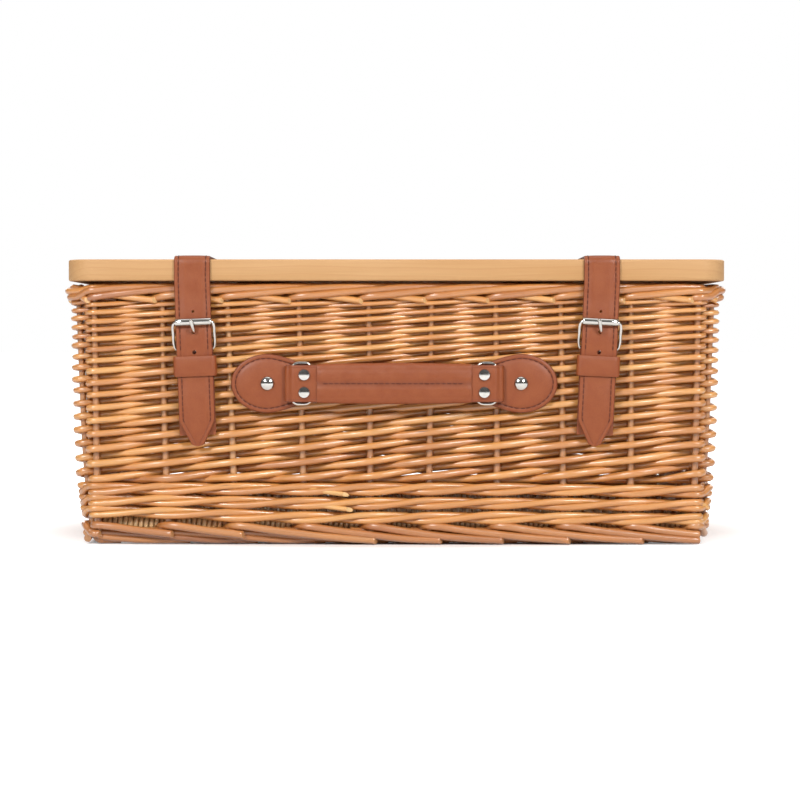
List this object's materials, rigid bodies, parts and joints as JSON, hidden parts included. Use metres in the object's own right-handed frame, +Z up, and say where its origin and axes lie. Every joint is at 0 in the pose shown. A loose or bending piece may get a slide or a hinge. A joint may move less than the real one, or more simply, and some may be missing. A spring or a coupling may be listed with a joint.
{
  "type": "wicker basket",
  "caption": "Rectangular willow hamper with a flat wooden lid on leather strap hinges, two buckled straps and a padded leather carrying handle on the front.",
  "frame": {"origin": "on the ground plane, under the middle of the whole object's bounding box", "axes": "+X to the right along the length as seen from the front, +Z up, the front with the handle and buckles faces -Y"},
  "size_m": [0.46, 0.3452, 0.2033],
  "materials": {
    "willow": "glossy varnished buff willow, honey to golden brown",
    "base_willow": "satin buff willow",
    "pine": "satin clear varnish, long grain along X",
    "leather": "smooth tan leather with stitched edges",
    "nickel": "bright nickel plating"
  },
  "bodies": {
    "basket": {"stakes": "willow", "corner_posts": "willow", "base_sticks": "base_willow", "base_weave": "base_willow", "wall_weave": "willow", "bottom_wale": "willow", "top_border": "willow", "foot_border": "willow", "back_strap_left": "leather", "back_strap_right": "leather", "back_strap_rivets": "nickel", "buckle_strap_left": "leather", "buckle_strap_right": "leather", "buckle_strap_rivets": "nickel", "rivet_washers": "nickel", "keeper_left": "leather", "keeper_right": "leather", "handle_tab_left": "leather", "handle_tab_right": "leather", "handle_screws": "nickel", "handle_nuts": "nickel"},
    "lid": {"lid_board": "pine", "lid_battens": "pine", "batten_screws": "nickel", "lid_strap_left": "leather", "lid_strap_right": "leather", "lid_strap_screws": "nickel"},
    "tongue_left": {"strap_tongue_left": "leather"},
    "tongue_right": {"strap_tongue_right": "leather"},
    "buckle_left": {"buckle_frame_left": "nickel"},
    "buckle_right": {"buckle_frame_right": "nickel"},
    "roller_left": {"buckle_roller_left": "nickel"},
    "roller_right": {"buckle_roller_right": "nickel"},
    "prong_left": {"buckle_prong_left": "nickel"},
    "prong_right": {"buckle_prong_right": "nickel"},
    "ring_left": {"handle_ring_left": "nickel"},
    "ring_right": {"handle_ring_right": "nickel"},
    "handle_left": {"handle_strap_left": "leather", "handle_grip_left": "leather", "handle_rivets_left": "nickel"},
    "handle_right": {"handle_strap_right": "leather", "handle_grip_right": "leather", "handle_rivets_right": "nickel"}
  },
  "joints": [
    {"name": "lid_hinge", "type": "hinge", "parent": "basket", "child": "lid", "pos_m": [0, 0.1714, 0.1835], "axis": [-1, 0, 0], "range_deg": [0, 105], "deforming": ["strap_tongue_left", "strap_tongue_right"]},
    {"name": "strap_left_bend", "type": "hinge", "parent": "lid", "child": "tongue_left", "pos_m": [-0.143, -0.1612, 0.184], "axis": [-0.9996, 0, -0.0297], "range_deg": [-85, 0], "deforming": ["strap_tongue_left"]},
    {"name": "buckle_left_hinge", "type": "hinge", "parent": "basket", "child": "buckle_left", "pos_m": [-0.14158, -0.15935, 0.13602], "axis": [0.9996, 0, 0.0297], "range_deg": [0, 33]},
    {"name": "prong_left_hinge", "type": "hinge", "parent": "basket", "child": "prong_left", "pos_m": [-0.14158, -0.15935, 0.13602], "axis": [0.9996, 0, 0.0297], "range_deg": [0, 105]},
    {"name": "roller_left_spin", "type": "hinge", "parent": "buckle_left", "child": "roller_left", "pos_m": [-0.14215, -0.1665, 0.15541], "axis": [0.9996, 0, 0.0297], "continuous": true},
    {"name": "strap_right_bend", "type": "hinge", "parent": "lid", "child": "tongue_right", "pos_m": [0.143, -0.1612, 0.184], "axis": [-0.999, 0, 0.0454], "range_deg": [-85, 0], "deforming": ["strap_tongue_right"]},
    {"name": "buckle_right_hinge", "type": "hinge", "parent": "basket", "child": "buckle_right", "pos_m": [0.14082, -0.15935, 0.13605], "axis": [0.999, 0, -0.0454], "range_deg": [0, 33]},
    {"name": "prong_right_hinge", "type": "hinge", "parent": "basket", "child": "prong_right", "pos_m": [0.14082, -0.15935, 0.13605], "axis": [0.999, 0, -0.0454], "range_deg": [0, 105]},
    {"name": "roller_right_spin", "type": "hinge", "parent": "buckle_right", "child": "roller_right", "pos_m": [0.1417, -0.1665, 0.15543], "axis": [0.999, 0, -0.0454], "continuous": true},
    {"name": "handle_lift", "type": "hinge", "parent": "basket", "child": "ring_left", "pos_m": [-0.059, -0.1611, 0.1126], "axis": [0, 0, 1], "range_deg": [0, 60]},
    {"name": "handle_left_pivot", "type": "hinge", "parent": "ring_left", "child": "handle_left", "pos_m": [-0.07498, -0.16306, 0.1126], "axis": [0, 0, 1], "range_deg": [-90, 0]},
    {"name": "handle_flex", "type": "hinge", "parent": "handle_left", "child": "handle_right", "pos_m": [-0.0015, -0.1661, 0.1126], "axis": [0, 0, 1], "range_deg": [0, 58]},
    {"name": "handle_right_pivot", "type": "hinge", "parent": "handle_right", "child": "ring_right", "pos_m": [0.07198, -0.16306, 0.1126], "axis": [0, 0, 1], "range_deg": [-90, 0]}
  ],
  "couplings": [
    {"joint": "strap_left_bend", "follows": "lid_hinge", "ratio": -0.78},
    {"joint": "buckle_left_hinge", "follows": "lid_hinge", "ratio": 0.3},
    {"joint": "prong_left_hinge", "follows": "lid_hinge", "ratio": 0.95},
    {"joint": "strap_right_bend", "follows": "lid_hinge", "ratio": -0.78},
    {"joint": "buckle_right_hinge", "follows": "lid_hinge", "ratio": 0.3},
    {"joint": "prong_right_hinge", "follows": "lid_hinge", "ratio": 0.95},
    {"joint": "handle_left_pivot", "follows": "handle_lift", "ratio": -1.464},
    {"joint": "handle_flex", "follows": "handle_lift", "ratio": 0.928},
    {"joint": "handle_right_pivot", "follows": "handle_lift", "ratio": -1.464}
  ]
}
